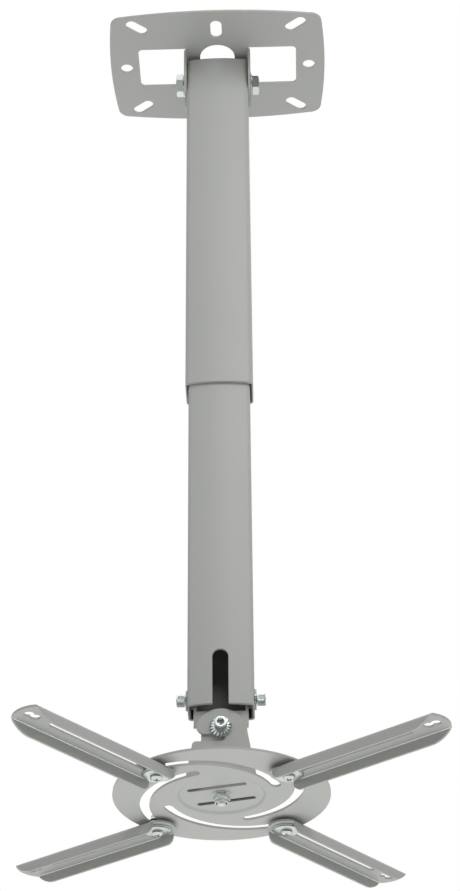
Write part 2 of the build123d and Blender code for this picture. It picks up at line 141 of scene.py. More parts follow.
def startMaterial(name):
    material = bpy.data.materials.new(name)
    material.use_nodes = True
    tree = material.node_tree
    shader = tree.nodes["Principled BSDF"]
    where = Wire.node(tree, "ShaderNodeTexCoord", output="Object")
    return material, tree, shader, where


def noise(tree, where, scale, detail=2.0, roughness=0.5):
    values = {"Vector": where, "Scale": scale, "Detail": detail, "Roughness": roughness}
    return Wire.node(tree, "ShaderNodeTexNoise", None, values)


def mixColour(tree, factor, first, second):
    values = {0: factor, 6: first, 7: second}
    return Wire.node(tree, "ShaderNodeMix", {"data_type": "RGBA"}, values, output=2)


# x, y and z of a point or direction
def partsOf(tree, where):
    parts = Wire.node(tree, "ShaderNodeSeparateXYZ", None, {0: where}).family()
    return parts["X"], parts["Y"], parts["Z"]


def setShader(tree, shader, **values):
    for key, value in values.items():
        socket = shader.inputs[key.replace("_", " ")]
        if isinstance(value, Wire):
            tree.links.new(value.socket, socket)
        else:
            socket.default_value = value


# Normal of a surface with its edges rounded off and a fine relief on it
def softRelief(tree, look, height):
    soft = Wire.node(tree, "ShaderNodeBevel", {"samples": 4}, {"Radius": look["edgeRadius"]})
    values = {"Strength": look["reliefStrength"], "Distance": look["reliefDepth"], "Height": height}
    return Wire.node(tree, "ShaderNodeBump", None, dict(values, Normal=soft))


# Silver-grey powder coat: fine flake, a little orange peel, edges softened by the coat
coatLook = {
    "light": (0.449, 0.458, 0.437, 1),
    "dark": (0.392, 0.401, 0.381, 1),
    "broadScale": 9.0,
    "broadShare": 0.45,
    "flakeScale": 2400.0,
    "flakeShare": 0.55,
    "peelScale": 620.0,
    "reliefDepth": 0.04 * mm,
    "reliefStrength": 0.5,
    "roughness": 0.40,
    "roughSpread": 0.12,
    "roughMiddle": 0.5,
    "specular": 0.45,
    "edgeRadius": 0.6 * mm,
}


# the coat, with another colour wherever a mask of the surface's own place says so
def makeCoat(name, look, mask=None, spec=None):
    material, tree, shader, where = startMaterial(name)
    broad = noise(tree, where, look["broadScale"], detail=3.0)
    flake = noise(tree, where, look["flakeScale"], detail=1.0)
    peel = noise(tree, where, look["peelScale"], detail=2.0)
    tone = (look["broadShare"] * broad + look["flakeShare"] * flake).clamped()
    colour = mixColour(tree, tone, look["dark"], look["light"])
    if mask:
        colour = mixColour(tree, mask(tree, where, spec), colour, spec["colour"])
    rough = look["roughness"] + look["roughSpread"] * (peel - look["roughMiddle"])
    setShader(tree, shader, Base_Color=colour, Roughness=rough, Normal=softRelief(tree, look, peel),
              Metallic=0.0, Specular_IOR_Level=look["specular"])
    return material


# Bright zinc plate: metal with a faint blue and straw cast, fine tool marks, and painted shade in its hollows
zincLook = {
    "cool": (0.64, 0.70, 0.72, 1),
    "warm": (0.73, 0.76, 0.70, 1),
    "castScale": 260.0,
    "markScale": 3000.0,
    "reliefDepth": 0.01 * mm,
    "reliefStrength": 0.4,
    "roughness": 0.24,
    "roughSpread": 0.16,
    "roughMiddle": 0.4,
    "edgeRadius": 0.22 * mm,
    "hollowShade": (0.16, 0.21, 0.23, 1),
    "hollowReach": 1.6 * mm,
}


def makeZinc(name, look):
    material, tree, shader, where = startMaterial(name)
    cast = noise(tree, where, look["castScale"], detail=3.0)
    mark = noise(tree, where, look["markScale"], detail=3.0, roughness=0.65)
    colour = mixColour(tree, cast, look["cool"], look["warm"])
    # painted shade: the colour darkens where the mesh's own hollows close round a point
    free = Wire.node(tree, "ShaderNodeAmbientOcclusion", {"samples": 8, "only_local": True},
                     {"Distance": look["hollowReach"]}, output=1)
    colour = mixColour(tree, free, look["hollowShade"], colour)
    rough = look["roughness"] + look["roughSpread"] * (mark - look["roughMiddle"])
    setShader(tree, shader, Base_Color=colour, Roughness=rough, Normal=softRelief(tree, look, mark),
              Metallic=1.0)
    return material


# Dark zinc of the nuts and spacers inside the tilt bracket: a darker copy of the zinc, painted shade
shadedZincLook = dict(zincLook, cool=(0.13, 0.14, 0.15, 1), warm=(0.16, 0.165, 0.16, 1),
                    hollowShade=(0.05, 0.055, 0.06, 1), roughness=0.42)

# Dark nylon of the lock nut's insert
nylonLook = {
    "light": (0.085, 0.090, 0.095, 1),
    "dark": (0.055, 0.058, 0.062, 1),
    "scale": 900.0,
    "roughness": 0.35,
    "roughSpread": 0.2,
}


def makeNylon(name, look):
    material, tree, shader, where = startMaterial(name)
    cloud = noise(tree, where, look["scale"], detail=2.0)
    colour = mixColour(tree, cloud, look["dark"], look["light"])
    rough = look["roughness"] + look["roughSpread"] * cloud
    setShader(tree, shader, Base_Color=colour, Roughness=rough)
    return material


maskEdge = 0.05 * mm        # width over which a mask rises from 0 to 1


# 1 where a distance into the masked space is positive, 0 outside it
def within(distance):
    return (distance / maskEdge).clamped()


# Inside of the tubes: painted shade, a dark colour wherever a point lies within the inner faces. The
# front and back faces are flat arcs, y = crown - x * x * bow, the sides are straight, and there the
# dark runs out onto the inner half of the cut ends, as painted shade of the gap between the tubes.
# Above a given height over the foot it covers less, down to a given share: lighter higher up, as painted
# light.
tubeInsideShade = {
    "outer_tube": {"bow": 5.0, "colour": (0.012, 0.0125, 0.011, 1)},
    "inner_tube": {"bow": 5.69, "colour": (0.042, 0.0435, 0.039, 1),
                   "thinFrom": 21.1 * mm, "thinOver": 22 * mm, "thin": 0.34},
}
shadeInset = {"side": 0.9 * mm, "face": 1.85 * mm}        # from the tube's outer faces
for tubeName, tubeSpec in tubeInsideShade.items():
    tubeLow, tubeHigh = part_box(tubeName)
    tubeSpec["half"] = tubeHigh[0] - shadeInset["side"]
    tubeSpec["crown"] = tubeHigh[1] - shadeInset["face"]
    tubeSpec["foot"] = tubeLow[2]


# painted shade inside the tubes and on the outer tube's cut ends, with painted light higher up in the inner
# tube
def tubeShadeMask(tree, where, spec):
    x, y, z = partsOf(tree, where)
    mask = within(spec["half"] - x.size()) * within(spec["crown"] - x * x * spec["bow"] - y.size())
    if "thin" in spec:
        climb = (z - (spec["foot"] + spec["thinFrom"])) / spec["thinOver"]
        mask = mask * (1.0 - spec["thin"] * climb.clamped())
    return mask


# Face of the roll bracket on the disc: painted shade, near-black on its lowest 0.15 mm, which shows in the
# disc's slits
rollUnderShade = {"sheet": 0.15 * mm, "low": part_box("roll_bracket")[0][2], "colour": (0.030, 0.031, 0.028, 1)}


def underShadeMask(tree, where, spec):
    z = partsOf(tree, where)[2]
    return within(spec["low"] + spec["sheet"] - z)


# Walls of the disc's two slits: painted shade, dark within both turned rectangles,
# above the disc's lower face
discSlitShade = {"angle": math.radians(-15), "offset": 11.2 * mm, "halfLength": 20.1 * mm, "halfWidth": 2.1 * mm,
             "low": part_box("disc")[0][2], "face": 0.3 * mm, "colour": (0.27, 0.276, 0.262, 1)}


def slitShadeMask(tree, where, spec):
    x, y, z = partsOf(tree, where)
    cosine, sine = math.cos(spec["angle"]), math.sin(spec["angle"])
    along = within(spec["halfLength"] - (x * cosine + y * sine).size())
    offLine = ((y * cosine - x * sine).size() - spec["offset"]).size()
    return along * within(spec["halfWidth"] - offLine) * within(z - (spec["low"] + spec["face"]))


coat = makeCoat("silverCoat", coatLook)
zinc = makeZinc("brightZinc", zincLook)
shadedZinc = makeZinc("shadedZinc", shadedZincLook)
nylon = makeNylon("nylonInsert", nylonLook)
# coats with painted shade: under the roll bracket, in the disc's slits and inside the tubes
ownCoats = {
    "roll_bracket": makeCoat("silverCoat_roll_bracket", coatLook, underShadeMask, rollUnderShade),
    "disc": makeCoat("silverCoat_disc", coatLook, slitShadeMask, discSlitShade),
}
for tubeName, tubeSpec in tubeInsideShade.items():
    ownCoats[tubeName] = makeCoat("silverCoat_" + tubeName, coatLook, tubeShadeMask, tubeSpec)
print("materials: done")


# Object of a mesh with smooth faces, linked to the scene
def showMesh(name, points, faces):
    mesh = bpy.data.meshes.new(name)
    mesh.from_pydata(points.tolist(), [], faces)
    mesh.polygons.foreach_set("use_smooth", np.ones(len(faces), bool))
    piece = bpy.data.objects.new(name, mesh)
    bpy.context.scene.collection.objects.link(piece)
    return piece


# Mesh of a grid of points, rows by columns. Columns always close into rings. Rows close where
# wrapRows says so; otherwise each end ring is closed by a fan to the ring's middle. The faces are
# turned outwards by the sign of the volume that they enclose.
def ringMesh(name, grid, material, wrapRows=False, sharp=35.0):
    rows, cols = grid.shape[:2]
    index = np.arange(rows * cols).reshape(rows, cols)
    beside = np.roll(index, -1, axis=1)
    points = grid.reshape(-1, 3)
    fans = np.empty((0, 3), int)
    if wrapRows:
        quads = np.stack([index, beside, np.roll(beside, -1, axis=0), np.roll(index, -1, axis=0)], -1)
    else:
        quads = np.stack([index[:-1], beside[:-1], beside[1:], index[1:]], -1)
        points = np.vstack([points, grid[0].mean(0), grid[-1].mean(0)])
        first, last = np.full(cols, rows * cols), np.full(cols, rows * cols + 1)
        fans = np.vstack([np.stack([first, beside[0], index[0]], -1),
                          np.stack([last, index[-1], beside[-1]], -1)])
    quads = quads.reshape(-1, 4)
    one, two, three, four = np.moveaxis(points[quads] - points.mean(0), 1, 0)
    volume = (one * np.cross(two, three)).sum() + (one * np.cross(three, four)).sum()
    if volume < 0:
        quads, fans = quads[:, ::-1], fans[:, ::-1]
    piece = showMesh(name, points, quads.tolist() + fans.tolist())
    piece.data.set_sharp_from_angle(angle=math.radians(sharp))
    piece.data.materials.append(material)
    piece.data.update()
    return piece


# Directions of a fastener that points along one axis: its own x, y and z in the frame
def axesOf(axis, sign):
    ahead = np.roll(np.array([1.0, 0.0, 0.0]), "xyz".index(axis)) * sign
    side = np.array([0.0, 0.0, 1.0]) if axis == "x" else np.array([1.0, 0.0, 0.0])
    return side, np.cross(ahead, side), ahead


# Puts a grid made along +Z on a node: centred on its box, with z = 0 a given depth under its far end
def placeOn(grid, node, axis, sign, depth, turn=0.0):
    low, high = (np.array(corner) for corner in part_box(node))
    side, across, ahead = axesOf(axis, sign)
    reach = (high - low) @ np.abs(ahead) / 2
    origin = (low + high) / 2 + ahead * (reach - depth)
    x = grid[..., 0] * math.cos(turn) - grid[..., 1] * math.sin(turn)
    y = grid[..., 0] * math.sin(turn) + grid[..., 1] * math.cos(turn)
    return origin + x[..., None] * side + y[..., None] * across + grid[..., 2:] * ahead


def standFor(piece, node):
    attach(piece, bodyOf[node])
    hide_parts(node)
    return piece


# A fastener drawn in place of its node; ring says that its rows close round a bore
def fit(name, node, grid, axis, sign, depth, turn=0.0, material=zinc, ring=False):
    grid = placeOn(grid, node, axis, sign, depth, turn)
    return standFor(ringMesh(name, grid, material, ring), node)


# Angles round a ring, as one row
def roundAngles(cols):
    return np.linspace(0, tau, cols, endpoint=False)[None, :]


def column(values):
    return np.array(values)[:, None]


def polar(radius, angle, height):
    radius, angle, height = np.broadcast_arrays(radius, angle, height)
    return np.stack([radius * np.cos(angle), radius * np.sin(angle), height], -1)


# Ring radius of a hexagon: half its flats over the cosine of the angle from the nearest flat
def hexRadius(angle, flats):
    return flats / 2 / np.cos(np.mod(angle, tau / 6) - tau / 12)


# Turned corners of a hexagon: the hexagon cut by a cone that widens by 1 / drop of the depth under
# its top. Gives the hexagon's radius, the cut radius and the depths of its rows.
def crownOf(angle, flats, look):
    hexagon = hexRadius(angle, flats)
    cone = flats / 2 * look["crownInset"]
    depths = np.linspace(0, (hexagon.max() - cone) * look["crownDrop"], look["crownRows"])[:, None]
    return hexagon, np.minimum(hexagon, cone + depths / look["crownDrop"]), depths


# Wave that runs straight from 0 to 1 and back once per turn of its phase
def zigzag(phase):
    return 1 - np.abs(2 * np.mod(phase, 1.0) - 1)


# Thread form, its lengths in pitches: flat crest, flank and depth, run-in under the head, turned point
threadLook = {"crest": 0.12, "flank": 0.72, "depth": 0.58, "rows": 8, "runIn": 0.6, "point": 0.7,
              "pointDepth": 0.55}


# Thread depth under the crest at a height and angle: a zigzag along the axis that climbs one
# pitch in each turn, with its crests and roots cut flat
def threadDip(angle, height, pitch, look=threadLook):
    wave = zigzag(height / pitch - angle / tau)
    return np.clip((wave - look["crest"]) / look["flank"], 0, 1) * look["depth"] * pitch


# heights of the rows of a thread from one end to the other
def threadHeights(start, stop, pitch, look=threadLook):
    return np.linspace(start, stop, int(abs(stop - start) / pitch * look["rows"]) + 2)[:, None]


# Threaded shank rows from z = 0 down to -length: the crest radius less the thread dip, which
# fades in under the head, and a turned point at the end
def shankRows(angle, radius, length, pitch, look=threadLook):
    heights = threadHeights(0, -length, pitch)
    fade = np.clip(-heights / (look["runIn"] * pitch), 0, 1)
    point = np.clip(1 - (length + heights) / (look["point"] * pitch), 0, 1) * look["pointDepth"] * pitch
    crest = np.minimum(radius - fade * threadDip(angle, heights, pitch), radius - point)
    return polar(crest, angle, heights)


# Hex bolt: dished top, crown turned at 30 degrees, washer face, thread. The dish is given by shares
# of half the flats and the depths there.
boltLook = {"cols": 96, "crownDrop": 0.58, "crownInset": 0.96, "crownRows": 7, "faceInset": 0.94,
            "faceHeight": 0.3 * mm, "dish": (0.15, 0.45, 0.62, 0.72),
            "dishDepth": (0.32 * mm, 0.30 * mm, 0.18 * mm, 0.0)}


def hexBolt(spec, pitch, look=boltLook):
    angle = roundAngles(look["cols"])
    half, top, face = spec["flats"] / 2, spec["head"], look["faceHeight"]
    hexagon, crown, depths = crownOf(angle, spec["flats"], look)
    return np.vstack([
        polar(column(look["dish"]) * half, angle, top - column(look["dishDepth"])),
        polar(crown, angle, top - depths),
        polar(hexagon, angle, np.linspace(top - depths.max(), face, 3)[:, None]),
        polar(half * look["faceInset"], angle, column([face, 0.0])),
        shankRows(angle, spec["radius"], spec["length"], pitch),
    ])


# Socket cap screw: hex socket with a drilled floor, chamfered rim, knurled side (a zigzag round
# the head that fades at both ends), threaded shank. Socket radii are shares of half its flats, the
# rim's insets and drops are shares of the rim.
capLook = {"cols": 160, "drill": (0.018, 0.45, 0.882), "drillDepth": (0.7 * mm, 0.35 * mm, 0.0),
           "floorInset": 0.985, "mouthRound": 1.12, "mouthWide": 1.3, "mouthDepth": 0.25 * mm,
           "mouthEdge": 0.02 * mm, "rim": 0.4 * mm, "rimInset": (1.0, 0.72, 0.35, 0.1, 0.0),
           "rimDrop": (0.0, 0.06, 0.28, 0.62, 1.0), "sideFrom": 0.44 * mm, "sideTo": 0.12 * mm,
           "knurls": 40, "knurlRows": 14, "knurlDepth": 0.22 * mm, "knurlEnd": 0.1 * mm,
           "knurlFade": 0.35 * mm, "seatInset": 0.15 * mm}


def capScrew(spec, pitch, look=capLook):
    angle = roundAngles(look["cols"])
    half, socket, top, rim = spec["diameter"] / 2, spec["socket"] / 2, spec["head"], look["rim"]
    hexagon = hexRadius(angle, spec["socket"])
    floor = top - spec["socketDepth"]
    wall = np.vstack([hexagon * look["floorInset"], hexagon, hexagon])
    mouth = np.vstack([np.maximum(hexagon, socket * look["mouthRound"]),
                       np.full_like(hexagon, socket * look["mouthWide"])])
    sideHeights = np.linspace(top - look["sideFrom"], look["sideTo"], look["knurlRows"])[:, None]
    ends = np.minimum(top - rim - sideHeights, sideHeights - look["knurlEnd"])
    fade = np.clip(ends / look["knurlFade"], 0, 1)
    knurl = look["knurlDepth"] * fade * zigzag(angle / tau * look["knurls"])
    return np.vstack([
        polar(column(look["drill"]) * socket, angle, floor - column(look["drillDepth"])),
        polar(wall, angle, column([floor, floor, top - look["mouthDepth"]])),
        polar(mouth, angle, column([top - look["mouthEdge"], top])),
        polar(half - rim * column(look["rimInset"]), angle, top - rim * column(look["rimDrop"])),
        polar(half - knurl, angle, sideHeights),
        polar(half - look["seatInset"], angle, column([0.0])),
        shankRows(angle, spec["radius"], spec["length"], pitch),
    ])


# Hex nut: a ring whose section runs up the outside (hexagon cut by two cones, or a flange below),
# over the top, and down the threaded bore. Each mouth of the bore is sunk by a cone.
nutLook = {"cols": 96, "crownDrop": 0.58, "crownInset": 0.96, "crownRows": 6, "gap": 0.03 * mm,
           "root": 0.3 * mm, "countersink": 0.5 * mm, "sinkSlope": 1.6, "rollRows": 7, "lipEdge": 0.12 * mm}


def nutBore(angle, radius, height, pitch, look):
    heights = threadHeights(height, 0, pitch)
    sink = np.clip(look["countersink"] - np.minimum(heights, height - heights), 0, None)
    thread = radius + look["gap"] - threadDip(angle, heights, pitch)
    return polar(np.maximum(thread, radius - look["root"] + sink * look["sinkSlope"]), angle, heights)


def hexNut(flats, radius, height, pitch, flange=None, look=nutLook):
    angle = roundAngles(look["cols"])
    hexagon, crown, depths = crownOf(angle, flats, look)
    if flange:
        skirtHeights = column(flange["rise"]) * flange["height"]
        bottom = polar(column(flange["skirt"]) * flange["diameter"] / 2, angle, skirtHeights)
    else:
        skirtHeights = depths
        bottom = polar(crown, angle, depths)
    return np.vstack([
        bottom,
        polar(hexagon, angle, skirtHeights[-1:]),
        polar(crown[::-1], angle, height - depths[::-1]),
        nutBore(angle, radius, height, pitch, look),
    ])


# Lock nut: hexagon above, round collar rolled in below by a quarter turn over the insert's seat
def lockNut(spec, pitch, look=nutLook):
    angle = roundAngles(look["cols"])
    height, half = spec["nutHeight"], spec["collar"] / 2
    crown, depths = crownOf(angle, spec["flats"], look)[1:]
    low = height - spec["hexHeight"]
    bend = np.linspace(0, tau / 4, look["rollRows"])[:, None]
    bore = nutBore(angle, spec["radius"], height - spec["seatDepth"], pitch, look)
    bore[..., 2] += spec["seatDepth"]
    return np.vstack([
        polar(half - spec["roll"] * (1 - np.sin(bend)), angle, spec["roll"] * (1 - np.cos(bend))),
        polar(half, angle, column([low])),
        polar(crown, angle, low + depths),
        polar(crown[::-1], angle, height - depths[::-1]),
        bore,
        polar(spec["seat"] / 2, angle, column([spec["seatDepth"], look["lipEdge"]])),
    ])


# Rounded rectangular section of a ring: a superellipse, its two coordinates from -1 to 1
ringLook = {"cols": 96, "rows": 28, "power": 6.0}


def ringSection(look=ringLook):
    turn = np.linspace(0, tau, look["rows"], endpoint=False)[:, None]
    power = look["power"]
    reach = (np.abs(np.cos(turn)) ** power + np.abs(np.sin(turn)) ** power) ** (-1 / power)
    return reach * np.cos(turn), reach * np.sin(turn)


# Plain washer: the section carried round, between bore and rim
def roundRing(inner, outer, height, look=ringLook):
    out, up = ringSection()
    radius = (inner + outer) / 2 + (outer - inner) / 2 * out
    return polar(radius, roundAngles(look["cols"]), height / 2 + height / 2 * up)


# Toothed lock washer: a rounded ring whose rim is cut into teeth by a steep wave round it, each
# tooth twisted by a saw wave that grows towards the rim, and the whole ring slightly coned
starLook = {"teeth": 18, "toothCols": 20, "cut": 0.17, "steep": 4.0, "depth": 0.20, "twist": 0.24,
            "cone": 0.20, "sheet": 0.52}


def starWasher(inner, outer, height, look=starLook):
    angle = roundAngles(look["teeth"] * look["toothCols"])
    out, up = ringSection()
    tooth = np.mod(angle / tau * look["teeth"], 1.0)
    gap = np.clip((np.abs(tooth - 0.5) - 0.5 + look["cut"]) * look["steep"] / look["cut"], 0, 1)
    rim = outer - (outer - inner) * look["depth"] * gap
    radius = inner + (rim - inner) * (1 + out) / 2
    spread = (radius - inner) / (outer - inner)
    saw = (tooth - 0.5) * 2 * (1 - gap)
    lift = look["cone"] * (0.5 - spread) + look["twist"] * saw * spread ** 2
    heights = height / 2 + height * lift + height * look["sheet"] / 2 * up
    return polar(radius, angle, np.clip(heights, 0, height))


# Pan head with a cross recess: a dome height over radius and angle, less a recess that is deep
# along two crossed bars and fades out towards the rim, then the thread upwards
panLook = {"cols": 128, "rows": 40, "inner": 0.01, "edge": 0.93, "edgePower": 3, "fall": 0.66,
           "fallPower": 2.6, "bar": 0.75 * mm, "barTaper": 0.27 * mm, "barWall": 0.25 * mm, "reach": 2.2 * mm,
           "reachFade": 0.9 * mm, "core": 1.15 * mm, "coreWall": 0.3 * mm, "deep": 1.7 * mm}


def panScrew(spec, pitch, look=panLook):
    angle = roundAngles(look["cols"])
    across = np.linspace(look["inner"], 1, look["rows"])[:, None]
    edge = np.clip((across - look["edge"]) / (1 - look["edge"]), 0, 1)
    fall = look["fall"] * across ** look["fallPower"] + (1 - look["fall"]) * edge ** look["edgePower"]
    head = polar(across * spec["diameter"] / 2, angle, spec["head"] * (1 - fall))
    sides = np.abs(head[..., :2])
    near, far = sides.min(-1), sides.max(-1)
    bar = look["bar"] - look["barTaper"] * far / look["reach"]
    wall = np.clip((bar - near) / look["barWall"], 0, 1)
    core = np.clip((look["core"] - np.hypot(near, far)) / look["coreWall"], 0, 1)
    fade = np.clip((look["reach"] - far) / look["reachFade"], 0, 1)
    head[..., 2] -= np.maximum(wall, core) * fade * look["deep"]
    return np.vstack([head, shankRows(angle, spec["radius"], spec["length"], pitch)])


# Standard thread pitches of the screws in the mount
pitchOf = {"m5": 0.8 * mm, "m6": 1.0 * mm, "m10": 1.5 * mm}

# Pivot bolts, washers and nuts at the ears
pivotSet = {"flats": 16 * mm, "head": 5.8 * mm, "radius": 5 * mm, "length": 14.15 * mm, "nutHeight": 8 * mm,
            "washerBore": 5.02 * mm, "washerDiameter": 19 * mm, "washerSheet": 1 * mm,
            "headTurn": {"left": math.radians(17), "right": math.radians(28)}}
# Tilt screws with toothed washers
tiltSet = {"diameter": 8.5 * mm, "head": 5.8 * mm, "socket": 4.5 * mm, "socketDepth": 3.0 * mm,
           "radius": 2.5 * mm, "length": 12.85 * mm, "nutFlats": 8 * mm, "nutHeight": 4 * mm,
           "washerBore": 2.55 * mm, "washerDiameter": 14 * mm, "washerHeight": 1.8 * mm}
for side, sign in (("left", -1), ("right", 1)):
    fit("pivotBolt_" + side, "pivot_bolt_" + side, hexBolt(pivotSet, pitchOf["m10"]),
        "x", sign, pivotSet["head"], pivotSet["headTurn"][side])
    grid = roundRing(pivotSet["washerBore"], pivotSet["washerDiameter"] / 2, pivotSet["washerSheet"])
    fit("pivotWasher_" + side, "pivot_washer_" + side, grid, "x", sign, pivotSet["washerSheet"], ring=True)
    grid = hexNut(pivotSet["flats"], pivotSet["radius"], pivotSet["nutHeight"], pitchOf["m10"])
    fit("pivotNut_" + side, "pivot_nut_" + side, grid, "x", sign, pivotSet["nutHeight"], ring=True)
    fit("tiltScrew_" + side, "tilt_screw_" + side, capScrew(tiltSet, pitchOf["m5"]),
        "x", sign, tiltSet["head"])
    grid = starWasher(tiltSet["washerBore"], tiltSet["washerDiameter"] / 2, tiltSet["washerHeight"])
    fit("tiltWasher_" + side, "tilt_washer_" + side, grid, "x", sign, tiltSet["washerHeight"], ring=True)
    grid = hexNut(tiltSet["nutFlats"], tiltSet["radius"], tiltSet["nutHeight"], pitchOf["m5"])
    fit("tiltNut_" + side, "tilt_nut_" + side, grid, "x", sign, tiltSet["nutHeight"],
        material=shadedZinc, ring=True)
print("pivot and tilt fasteners: done")

# Roll screw through the hook slot, with its big toothed washer and its nut behind the web
rollSet = dict(tiltSet, length=11.7 * mm, washerDiameter=15 * mm, washerHeight=2.6 * mm)
rollStar = dict(starLook, cut=0.15, depth=0.28, twist=0.28, cone=0.30, sheet=0.34)
fit("rollScrew", "roll_screw", capScrew(rollSet, pitchOf["m5"]), "y", -1, rollSet["head"])
grid = starWasher(rollSet["washerBore"], rollSet["washerDiameter"] / 2, rollSet["washerHeight"], rollStar)
fit("rollWasher", "roll_washer", grid, "y", -1, rollSet["washerHeight"], ring=True)
grid = hexNut(rollSet["nutFlats"], rollSet["radius"], rollSet["nutHeight"], pitchOf["m5"])
fit("rollNut", "roll_nut", grid, "y", 1, rollSet["nutHeight"], ring=True)

# Height lock screws and their welded nuts at the back of the outer tube
lockSet = {"flats": 10 * mm, "head": 4 * mm, "radius": 3 * mm, "length": 11.28 * mm, "nutHeight": 6 * mm}
for place in ("upper", "lower"):
    fit("lockScrew_" + place, "lock_screw_" + place, hexBolt(lockSet, pitchOf["m6"]),
        "y", 1, lockSet["head"])
    grid = hexNut(lockSet["flats"], lockSet["radius"], lockSet["nutHeight"], pitchOf["m6"])
    fit("lockNut_" + place, "lock_nut_" + place, grid, "y", 1, lockSet["nutHeight"],
        material=coat, ring=True)

# Weld bead round each lock nut: a ring that follows the hexagon, swelling and thinning with a wave
weldLook = {"cols": 144, "rows": 16, "lumps": 15, "drift": 0.8, "radius": 1.0 * mm, "swell": 0.12 * mm,
            "out": 0.25 * mm}


def weldBead(flats, look=weldLook):
    angle = roundAngles(look["cols"])
    turn = np.linspace(0, tau, look["rows"], endpoint=False)[:, None]
    phase = look["lumps"] * angle + look["drift"] * np.sin(2 * angle)
    thick = look["radius"] + look["swell"] * np.cos(phase)
    radius = hexRadius(angle, flats) + look["out"] + thick * np.cos(turn)
    return polar(radius, angle, thick * np.sin(turn))


for place in ("upper", "lower"):
    grid = placeOn(weldBead(lockSet["flats"]), "lock_nut_" + place, "y", 1, lockSet["nutHeight"])
    bead = ringMesh("weldBead_" + place, grid, coat, True)
    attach(bead, bodyOf["lock_nut_" + place])

# Centre bolt, washer and lock nut of the disc, with the nylon insert in the nut's seat
centreSet = {"flats": 10 * mm, "head": 4 * mm, "radius": 3 * mm, "length": 11.2 * mm,
             "washerBore": 3.02 * mm, "washerDiameter": 12 * mm, "washerSheet": 0.8 * mm,
             "nutHeight": 6.0 * mm, "hexHeight": 4.0 * mm, "collar": 9.4 * mm, "roll": 0.5 * mm,
             "seat": 7.6 * mm, "seatDepth": 1.5 * mm,
             "insertBore": 3.03 * mm, "insert": 0.7 * mm, "insertGap": 0.02 * mm}
fit("centreBolt", "centre_bolt", hexBolt(centreSet, pitchOf["m6"]), "z", 1, centreSet["head"])
grid = roundRing(centreSet["washerBore"], centreSet["washerDiameter"] / 2, centreSet["washerSheet"])
fit("centreWasher", "centre_washer", grid, "z", 1, centreSet["washerSheet"], ring=True)
fit("centreNut", "centre_nut", lockNut(centreSet, pitchOf["m6"]), "z", 1, centreSet["nutHeight"], ring=True)
insertRim = centreSet["seat"] / 2 - centreSet["insertGap"]
grid = roundRing(centreSet["insertBore"], insertRim, centreSet["insert"])
grid[..., 2] += centreSet["seatDepth"] - centreSet["insert"] - centreSet["insertGap"]
grid = placeOn(grid, "centre_nut", "z", 1, centreSet["nutHeight"])
insert = ringMesh("centreInsert", grid, nylon, True)
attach(insert, bodyOf["centre_nut"])

# Arm screws with cross recess, three rings on each, flange nuts above the disc. Each screw is turned
# on from the one before it.
armSet = {"diameter": 8 * mm, "head": 2.6 * mm, "radius": 2.5 * mm, "length": 13.4 * mm,
          "nutFlats": 8 * mm, "nutHeight": 4.6 * mm, "turn": 0.5, "turnStep": 0.9}
armRings = {
    "spacer": {"bore": 2.53 * mm, "diameter": 14 * mm, "sheet": 2.6 * mm},
    "washer": {"bore": 2.56 * mm, "diameter": 19 * mm, "sheet": 1.2 * mm},
    "ring": {"bore": 2.53 * mm, "diameter": 17.6 * mm, "sheet": 0.8 * mm},
}
armFlange = {"diameter": 11.6 * mm, "height": 1.2 * mm, "skirt": (0.94, 1.0, 1.0, 0.9),
             "rise": (0.0, 0.12, 0.55, 1.0)}
ringHair = 0.01 * mm        # left free at both faces of each ring, so that stacked rings turn
for number in range(1, 5):
    turn = armSet["turn"] + armSet["turnStep"] * number
    fit("armScrew_%d" % number, "arm_screw_%d" % number, panScrew(armSet, pitchOf["m5"]),
        "z", -1, armSet["head"], turn)
    for kind, spec in armRings.items():
        grid = roundRing(spec["bore"], spec["diameter"] / 2, spec["sheet"] - 2 * ringHair)
        fit("arm%s_%d" % (kind.title(), number), "arm_%s_%d" % (kind, number), grid,
            "z", -1, spec["sheet"] - ringHair, ring=True)
    grid = hexNut(armSet["nutFlats"], armSet["radius"], armSet["nutHeight"], pitchOf["m5"], armFlange)
    fit("armNut_%d" % number, "arm_nut_%d" % number, grid, "z", 1, armSet["nutHeight"], turn, ring=True)
print("roll, lock, centre and arm fasteners: done")

# Arms: the channel with its two inner bends pressed tight, as on the real sheet. In the arm's own
# u along, v across and w up, a point of an inner bend keeps its direction from the bend's centre
# line and moves to the tight radius; at the outer end it stays on the round cut of the flanges.
armFold = {"half": 11 * mm, "under": -1.5 * mm, "bend": 1.5 * mm, "tight": 0.4 * mm,
           "cutAt": 101 * mm, "cutUp": 11 * mm, "cutRound": 19.5 * mm,
           "onBend": 0.006 * mm, "margin": 0.01 * mm, "least": 0.1 * mm, "stripLength": 50 * mm,
           "decimals": 7, "tone": 0.94, "highlight": 2.0, "edgeRadius": 0.3 * mm}


# the coat times a tone: a darker copy on the arms, a little darker than the column, as painted shade, and a
# lighter copy along their bends as a painted highlight
def litOrShadedCoat(name, tone, spec=armFold):
    light, dark = (tuple(tone * part for part in coatLook[key][:3]) + (1,) for key in ("light", "dark"))
    return makeCoat(name, dict(coatLook, edgeRadius=spec["edgeRadius"], light=light, dark=dark))


armShadeCoat = litOrShadedCoat("silverCoat_armShade", armFold["tone"])
# a lighter copy of the coat for the bends: a painted highlight
foldHighlightCoat = litOrShadedCoat("silverCoat_foldHighlight", armFold["highlight"])


